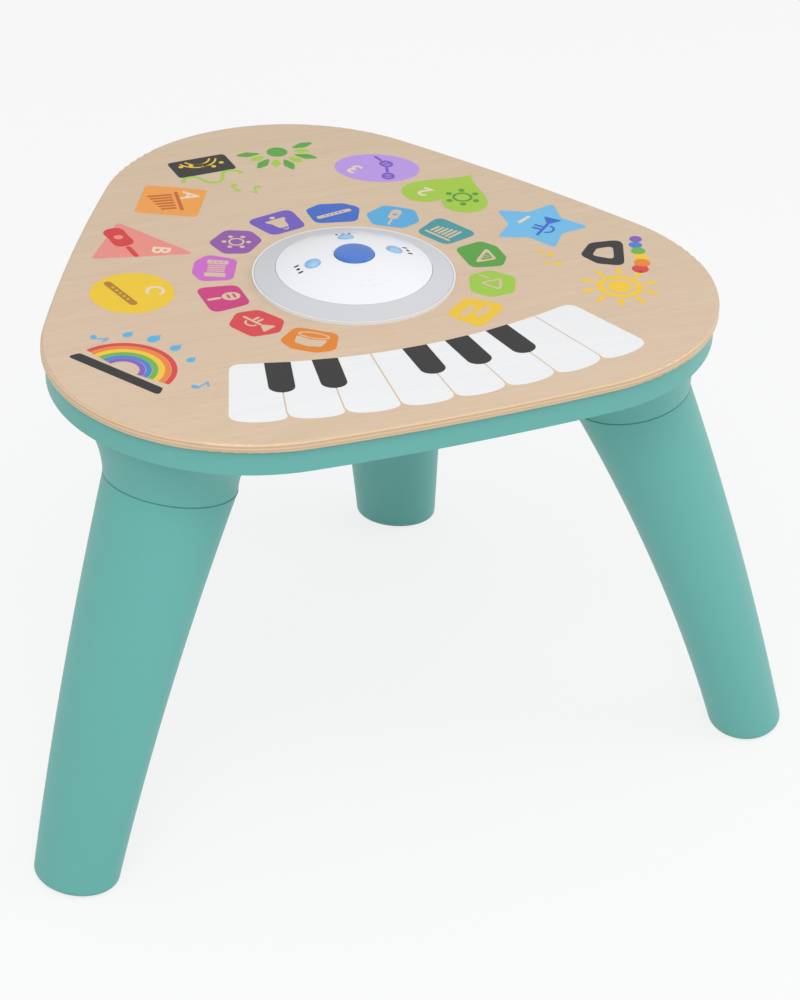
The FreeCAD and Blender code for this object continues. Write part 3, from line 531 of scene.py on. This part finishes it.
# Tile outlines in turn, drawn with the table's edge at the bottom
TILE_FORMS = [
    [(-16, 14), (16, 14), (21, -9), (9, -17), (-9, -17), (-21, -9)],
    [(-13, 15), (11, 17), (21, 2), (12, -17), (-12, -17), (-21, 0)],
    [(-15, 16), (15, 16), (20, -15), (-20, -15)],
]


def music_tiles():
    shown = []
    for i, (name, colour) in enumerate(TILES):
        azimuth = TILE_START - i * TILE_STEP
        x, y, turn = facing_in(azimuth, TILE_RING)
        form = rounded(TILE_FORMS[i % 3], 7.5)
        printed(f"tile_{name}", moved([form], x, y, turn), printed_ink(f"ink_{name}", ink(*colour)))
        shown += moved(SIGNS[i](), x, y, turn, 0.98)
    printed("tile_signs", shown, PLYWOOD, 2)


# Keyboard: eight fanned white keys with scalloped fronts, and five black keys
KEY_PITCH = 39.0
KEY_COUNT = 8
KEY_TAPER = 0.84
BACK_MIDDLE = -112.0
BACK_BOW = 407.0
FRONT_MIDDLE = -179.0
FRONT_BOW = 560.0
SCALLOP = 10.5
KEY_GAP = 0.55
BLACK_AFTER = (1, 2, 4, 5, 6)
BLACK_WIDE = 18.5
BLACK_SHARE = 0.62


def key_back(x):
    return BACK_MIDDLE + x * x / (2 * BACK_BOW)


def key_front(x):
    return FRONT_MIDDLE + x * x / (2 * FRONT_BOW)


def key_line(edge, share):
    """A point on the line between two keys, from the back (0) to the front (1)."""
    low = (edge, key_front(edge))
    high = (edge * KEY_TAPER, key_back(edge * KEY_TAPER))
    return high[0] + (low[0] - high[0]) * share, high[1] + (low[1] - high[1]) * share


def white_key(i):
    left = (i - KEY_COUNT / 2) * KEY_PITCH
    right = left + KEY_PITCH
    gap = KEY_GAP
    back_left, back_right = key_line(left, 0), key_line(right, 0)
    front_left, front_right = key_line(left, 1), key_line(right, 1)
    loop = []
    steps = 8
    for k in range(steps + 1):
        s = k / steps
        x = back_left[0] + gap + (back_right[0] - back_left[0] - 2 * gap) * s
        loop.append((x, key_back(x)))
    if i == 0:
        loop = round_back(loop, 1, front_left)
    if i == KEY_COUNT - 1:
        loop = round_back(loop, -1, front_right)
    for k in range(25):
        a = pi * k / 24
        bulge = sin(a) ** 0.62 if 0 < k < 24 else 0.0
        s = (1 - cos(a)) / 2
        x = front_right[0] - gap + (front_left[0] - front_right[0] + 2 * gap) * s
        y = front_right[1] + (front_left[1] - front_right[1]) * s
        loop.append((x, y - SCALLOP * bulge))
    return loop


def round_back(loop, side, front):
    """Round the outer back corner of an end key."""
    radius = 9.0
    corner = Vector(loop[0] if side == 1 else loop[-1])
    down = (Vector(front) - corner).normalized()
    inward = (Vector(loop[3] if side == 1 else loop[-4]) - corner).normalized()
    kept = [point for point in loop if abs(point[0] - corner.x) > radius + 1]
    arc = []
    for k in range(7):
        s = k / 6
        start, end = corner + down * radius, corner + inward * radius
        arc.append(tuple(start * (1 - s) ** 2 + corner * 2 * s * (1 - s) + end * s * s))
    return arc + kept if side == 1 else kept + arc[::-1]


def black_key(after):
    edge = (after - KEY_COUNT / 2) * KEY_PITCH
    top = Vector(key_line(edge, 0.0))
    tip = Vector(key_line(edge, BLACK_SHARE))
    along = (tip - top).normalized()
    across = Vector((-along.y, along.x))
    half = BLACK_WIDE / 2
    end = tip - along * half
    loop = [tuple(top + across * half), tuple(top - across * half)]
    for k in range(13):
        a = pi * k / 12
        squeeze = 0.85
        loop.append(tuple(end - across * half * cos(a) + along * half * squeeze * sin(a)))
    return loop


def keyboard():
    for i in range(KEY_COUNT):
        printed(f"white_key_{i + 1}", [white_key(i)], KEY_WHITE)
    for i, after in enumerate(BLACK_AFTER):
        printed(f"black_key_{i + 1}", [black_key(after)], KEY_BLACK, 2)


# Six learning shapes round the edge
def heart(size):
    loop = []
    for k in range(60):
        a = 2 * pi * k / 60
        x = 16 * sin(a) ** 3
        y = 13 * cos(a) - 5 * cos(2 * a) - 2 * cos(3 * a) - cos(4 * a)
        loop.append((x * size / 16, y * size / 16))
    return loop


def star(outer, inner):
    points = []
    for k in range(10):
        reach = inner if k % 2 else outer
        a = radians(90 + 36 * k)
        points.append((reach * cos(a), reach * sin(a)))
    return rounded(points, 3)


def learning_shapes():
    paper = printed_ink("ink_cream", ink(236, 216, 188))
    square = rounded([(-23, -24), (23, -24), (23, 24), (-23, 24)], 4)
    triangle = rounded([(-31, -24), (30, -24), (0, 46)], 3)
    shakers = moved(sign_shaker(), -3, -12, 40, 0.85) + moved(sign_shaker(), -9, 8, 10, 0.85)
    chimes = moved(sign_chimes(), 3, -5, 20, 1.25)
    shapes = [
        ("square", (-84.3, 159.4), 240, 240, square, (242, 160, 70), "A", (-11, 12)),
        ("triangle", (-133.3, 100), 233, 240, triangle, (236, 142, 132), "B", (2, 20)),
        ("circle", (-159.6, 30.4), 240, 240, disc(0, 0, 30.5), (240, 200, 34), "C", (-7, 15)),
        ("oval", (84.6, 159.2), 152, 120, disc(0, 0, 33, 24), (186, 152, 232), "3", (17, 4)),
        ("heart", (120.5, 101), 129, 120, heart(35), (164, 204, 58), "2", (17, 8)),
        ("star", (161.4, 28.6), 102, 120, star(38, 22), (110, 188, 234), "1", (13, 3)),
    ]
    for name, (x, y), turn, text_turn, loop, colour, text, spot in shapes:
        printed(f"shape_{name}", moved([loop], x, y, turn), printed_ink(f"ink_{name}", ink(*colour)))
        spot_x, spot_y = moved([[spot]], x, y, turn)[0][0]
        letter(f"mark_{name}", text, spot_x, spot_y, text_turn, LETTER_SIZE, paper, 2)
    pictures = [
        ("square", (-84.3, 159.4), 240, chimes, (196, 104, 34)),
        ("triangle", (-133.3, 100), 233, moved(sign_strings(), -2, -10, -48, 1.9), (214, 52, 52)),
        ("circle", (-159.6, 30.4), 240, moved(sign_whistle(), 2, -8, 20, 1.35), (176, 124, 28)),
        ("oval", (84.6, 159.2), 152, shakers, (118, 84, 190)),
        ("heart", (120.5, 101), 129, moved(sign_tambourine(), -12, 2, 0, 1.25), (84, 150, 40)),
        ("star", (161.4, 28.6), 102, moved(sign_trumpet(), -5, -3, -60, 1.15), (44, 104, 200)),
    ]
    for name, (x, y), turn, loops, colour in pictures:
        deep = printed_ink(f"ink_{name}_picture", ink(*colour))
        printed(f"picture_{name}", moved(loops, x, y, turn), deep, 2)


def quaver(name, finish, x, y, turn):
    """A small note: its head and flag in one layer and its stem in the next."""
    head = [disc(0, 0, 3.0, 2.2), bar(3.0, 10.0, 6.4, 6.6, 1.5)]
    printed(f"note_{name}", moved(head, x, y, turn), finish)
    printed(f"note_{name}_stem", moved([bar(2.5, 0.4, 2.5, 10.4, 1.1)], x, y, turn), finish, 2)


def raindrop():
    turns = [2 * pi * k / 24 for k in range(24)]
    return [(3.2 * sin(a), 4 * cos(a) + (2.6 if a == 0 else 0)) for a in turns]


RAINBOW = [(217, 62, 60), (236, 132, 40), (240, 200, 44), (108, 180, 66), (64, 130, 210), (128, 90, 190)]


def leaf_picture(green, lime, sun):
    """A spray of leaves, a dark slate with dots, and waves."""
    leaf_place = (-8.0, 203.0, 182.0, 1.25)
    leaves, pale = [], []
    for k in range(9):
        a = radians(-10 + 25 * k)
        reach = 13 if k % 2 else 19
        outline = rounded([(0, 0), (3.5, reach * 0.55), (0, reach), (-3.5, reach * 0.55)], 4)
        place = (-24 + 9 * cos(a), -6 + 9 * sin(a))
        (pale if k % 2 else leaves).extend(moved([outline], *place, degrees(a) - 90))
    leaves.append(disc(-24, -6, 6.5))
    printed("leaf_spray", moved(leaves, *leaf_place), green)
    printed("leaf_spray_pale", moved(pale, *leaf_place), lime)
    slate = rounded([(8, -16), (46, -16), (46, 6), (8, 6)], 3)
    printed("leaf_slate", moved([slate], *leaf_place), KEY_BLACK)
    dots = [disc(14 + 6.4 * k, -5 + 3.5 * sin(k * 1.3), 1.5) for k in range(5)]
    rings = [band(27, -16, r, r + 1.2, 20, 160) for r in (8, 12)]
    printed("slate_dots", moved(dots + rings, *leaf_place), sun, 2)
    waves = [band(14 + 13 * k, 13, 5, 7.2, 0 if k % 2 else 180, 180 if k % 2 else 360) for k in range(3)]
    printed("leaf_waves", moved(waves, *leaf_place), lime)


def rainbow_picture(blue):
    """A rainbow over dark ground, with drops of rain."""
    rain_place = (-190.0, -66.0, 300.0)
    for k, colour in enumerate(RAINBOW):
        arch = band(0, -14, 34 - 4.4 * k, 38 - 4.4 * k, 8, 172, 40)
        tint = printed_ink(f"ink_rainbow_{k + 1}", ink(*colour))
        printed(f"rainbow_{k + 1}", moved([arch], *rain_place), tint)
    ground = rounded([(-42, -24), (42, -24), (38, -15), (-38, -15)], 3)
    printed("rainbow_ground", moved([ground], *rain_place), KEY_BLACK)
    drops = []
    for x, y, size in ((-30, 26, 1.0), (-12, 33, 1.3), (8, 33, 1.1), (27, 27, 0.9)):
        drops += moved([raindrop()], x, y, 0, size)
    printed("rain_drops", moved(drops, *rain_place), blue)


def sun_picture(sun):
    """A sun with rays, a dark arch and a string of beads."""
    sun_place = (186.0, -58.0, 66.0, 1.25)
    rays = []
    for k in range(10):
        a = radians(36 * k)
        rays.append(bar(17 * cos(a), 17 * sin(a), 22 * cos(a), 22 * sin(a), 3.2))
    rings = [disc(0, 0, 13.5), disc(0, 0, 9.5), disc(0, 0, 7)]
    printed("sun_disc", moved(moved(rings + rays, -20, 0), *sun_place), sun)
    hill = rounded([(6, -4), (40, -4), (34, 16), (18, 22), (8, 12)], 6)
    window = rounded([(14, 2), (31, 2), (27, 12), (18, 15)], 3)
    printed("sun_hill", moved([hill, window], *sun_place), KEY_BLACK)
    for k, colour in enumerate(RAINBOW):
        bead = disc(3 + 7.6 * k, -13 - 1.6 * sin(k * 1.1), 5 - 0.25 * k)
        tint = printed_ink(f"ink_bead_{k + 1}", ink(*colour))
        printed(f"bead_{k + 1}", moved([bead], *sun_place), tint, 1 + k % 2)


def edge_pictures():
    """The three generic pictures and the small notes round them."""
    green = printed_ink("ink_leaf", ink(86, 168, 60))
    lime = printed_ink("ink_bright_leaf", ink(166, 208, 60))
    blue = printed_ink("ink_rain", ink(88, 176, 226))
    sun = printed_ink("ink_sun", ink(242, 200, 48))
    leaf_picture(green, lime, sun)
    rainbow_picture(blue)
    sun_picture(sun)
    for name, finish, x, y, turn in (
        ("lime", lime, -30, 168, 200), ("lime_two", lime, -14, 160, 170), ("blue", blue, -206, -22, 250),
        ("blue_two", blue, -163, -112, 300), ("sun", sun, 150, -18, 60), ("sun_two", sun, 149, -34, 80),
    ):
        quaver(name, finish, x, y, turn)


# Light module trim
def dome_height(radius):
    """Height of the dome's face above the floor at a radius."""
    edge, crown, wide = DOME_EDGE, DOME_CROWN, DOME_WIDE
    rise = crown - edge
    big = (wide * wide + rise * rise) / (2 * rise)
    return WOOD + crown - big + sqrt(big * big - radius * radius)


def on_dome(name, loops, finish, proud):
    """A thin shape that follows the dome; loops are about the table's middle."""
    item = settled(name, flat_curve(name, loops, proud), 0, finish)
    for vertex in item.data.vertices:
        x, y = vertex.co.x / MM - CENTRE[0], vertex.co.y / MM - CENTRE[1]
        vertex.co.z += dome_height(hypot(x, y)) * MM
    return item


def dome_marks():
    dots = []
    for azimuth in LENS_PLACES:
        for k in (-1, 0, 1):
            a = radians(azimuth + 6.4 * k)
            x, y = 43 * cos(a), 43 * sin(a)
            dots += moved([bar(-1.1, 0, 1.1, 0, 1.7)] if k else [disc(0, 0, 1.3)], x, y, azimuth)
    on_dome("dome_marks", dots, BLACK, 0.12)
    arcs = [band(0, -22, r, r + 1.5, 235, 305) for r in (8, 13, 18)]
    on_dome("dome_sound_arcs", arcs, WHITE, 0.45)


# Seams between collars and legs, each with a ring of painted shade: azimuth and reach of each, then the
# oval they share
SEAMS = ((210, 206.0), (330, 206.0), (58, 147.0))
SEAM_HEIGHT = 282.0
SEAM_HALF = (49.35, 44.6)
SEAM_TILT = 10.0
SEAM_PROUD = 0.12
SEAM_BAND = 0.45


def seam_shade_rings():
    """A fine line of painted shade round each leg where it meets its collar."""
    # The darker teal is painted shade for the gap between leg and collar, not a colour of the plastic.
    finish = moulded_plastic("teal_seam_shade", ink(62, 132, 126), 0.6)
    steps = 96
    for number, (azimuth, reach) in enumerate(SEAMS, start=1):
        work = bmesh.new()
        rings = []
        corners = [(-0.4, -1), (SEAM_PROUD, -1), (SEAM_PROUD, 1), (-0.4, 1)]
        for proud, side in corners:
            rise = side * SEAM_BAND
            ring = []
            for k in range(steps):
                a = 2 * pi * k / steps
                out = (SEAM_HALF[1] + proud) * cos(a)
                across = (SEAM_HALF[0] + proud) * sin(a)
                tilt = radians(SEAM_TILT)
                spot = Vector((reach + out * cos(tilt), across, SEAM_HEIGHT + out * sin(tilt) + rise))
                spot = Matrix.Rotation(radians(azimuth), 3, "Z") @ spot
                spot += Vector((CENTRE[0], CENTRE[1], 0))
                ring.append(work.verts.new(spot * MM))
            rings.append(ring)
        for i, ring in enumerate(rings):
            other = rings[(i + 1) % len(rings)]
            for k in range(steps):
                k2 = (k + 1) % steps
                work.faces.new((ring[k], ring[k2], other[k2], other[k]))
        bmesh.ops.recalc_face_normals(work, faces=work.faces)
        mesh = bpy.data.meshes.new(f"collar_seam_shade_{number}")
        work.to_mesh(mesh)
        work.free()
        mesh.materials.append(finish)
        piece(f"collar_seam_shade_{number}", mesh, "table")


# Stage, lamps and camera
def stage():
    mesh = bpy.data.meshes.new("floor")
    reach = FLOOR_REACH
    corners = [(-reach, -reach, 0), (reach, -reach, 0), (reach, reach, 0), (-reach, reach, 0)]
    mesh.from_pydata(corners, [], [(0, 1, 2, 3)])
    floor = bpy.data.objects.new("floor", mesh)
    bpy.context.scene.collection.objects.link(floor)
    paint = Paint("floor_paint")
    path = paint.add("ShaderNodeLightPath")
    camera_ray, glossy_ray, transmission_ray = path[0], path[3], path[6]
    seen = camera_ray.larger(glossy_ray).larger(transmission_ray)
    cloud = paint.noise(3.0, 2.0)
    tone = paint.blend(cloud, (0.80, 0.81, 0.82, 1), (0.83, 0.84, 0.85, 1))
    matt = paint.add("ShaderNodeBsdfDiffuse", None, {"Color": tone})[0]
    glow = paint.add("ShaderNodeEmission", None, {"Color": (1, 1, 1, 1), "Strength": 1.0})[0]
    mixed = paint.add("ShaderNodeMixShader", None, {0: seen * FLOOR_GLOW, 1: matt, 2: glow})[0]
    paint.tree.links.new(mixed.socket, paint.output.inputs["Surface"])
    mesh.materials.append(paint.material)


def lamp(name, place, aim, watts, size):
    data = bpy.data.lights.new(name, "AREA")
    data.energy = watts
    data.size = size
    item = bpy.data.objects.new(name, data)
    item.location = place
    item.rotation_euler = (Vector(aim) - Vector(place)).to_track_quat("-Z", "Y").to_euler()
    bpy.context.scene.collection.objects.link(item)


def light():
    world = bpy.data.worlds.new("studio")
    bpy.context.scene.world = world
    world.use_nodes = True
    tree = world.node_tree
    back = tree.nodes["Background"]
    back.inputs["Color"].default_value = (1, 1, 1, 1)
    path = tree.nodes.new("ShaderNodeLightPath")
    ramp = tree.nodes.new("ShaderNodeMapRange")
    ramp.inputs["To Min"].default_value = WORLD_LEVEL
    ramp.inputs["To Max"].default_value = 1.0
    tree.links.new(path.outputs["Is Camera Ray"], ramp.inputs["Value"])
    tree.links.new(ramp.outputs["Result"], back.inputs["Strength"])
    lamp("key_lamp", (-0.5, -1.0, 1.7), (0, 0, 0.3), KEY_WATTS, 1.1)
    lamp("right_lamp", (1.7, -0.6, 1.1), (0, 0, 0.25), SIDE_WATTS, 1.2)


def camera():
    azimuth, elevation, roll = radians(VIEW_AZIMUTH), radians(VIEW_ELEVATION), radians(VIEW_ROLL)
    back = Vector((sin(azimuth) * cos(elevation), -cos(azimuth) * cos(elevation), sin(elevation)))
    side = Vector((0, 0, 1)).cross(back).normalized()
    up = back.cross(side)
    right = side * cos(roll) + up * sin(roll)
    top = up * cos(roll) - side * sin(roll)
    aim = Vector((CENTRE[0] + VIEW_AIM[0], CENTRE[1] + VIEW_AIM[1], WOOD)) * MM
    spot = aim + back * VIEW_DISTANCE * MM
    data = bpy.data.cameras.new("camera")
    data.lens = VIEW_LENS
    data.sensor_width = 36.0
    item = bpy.data.objects.new("camera", data)
    turn = Matrix((right, top, back)).transposed().to_4x4()
    item.matrix_world = Matrix.Translation(spot) @ turn
    bpy.context.scene.collection.objects.link(item)
    bpy.context.scene.camera = item


camera()
stage()
light()
dress_nodes()
music_tiles()
keyboard()
learning_shapes()
edge_pictures()
dome_marks()
seam_shade_rings()
bpy.context.scene.view_settings.view_transform = "Standard"
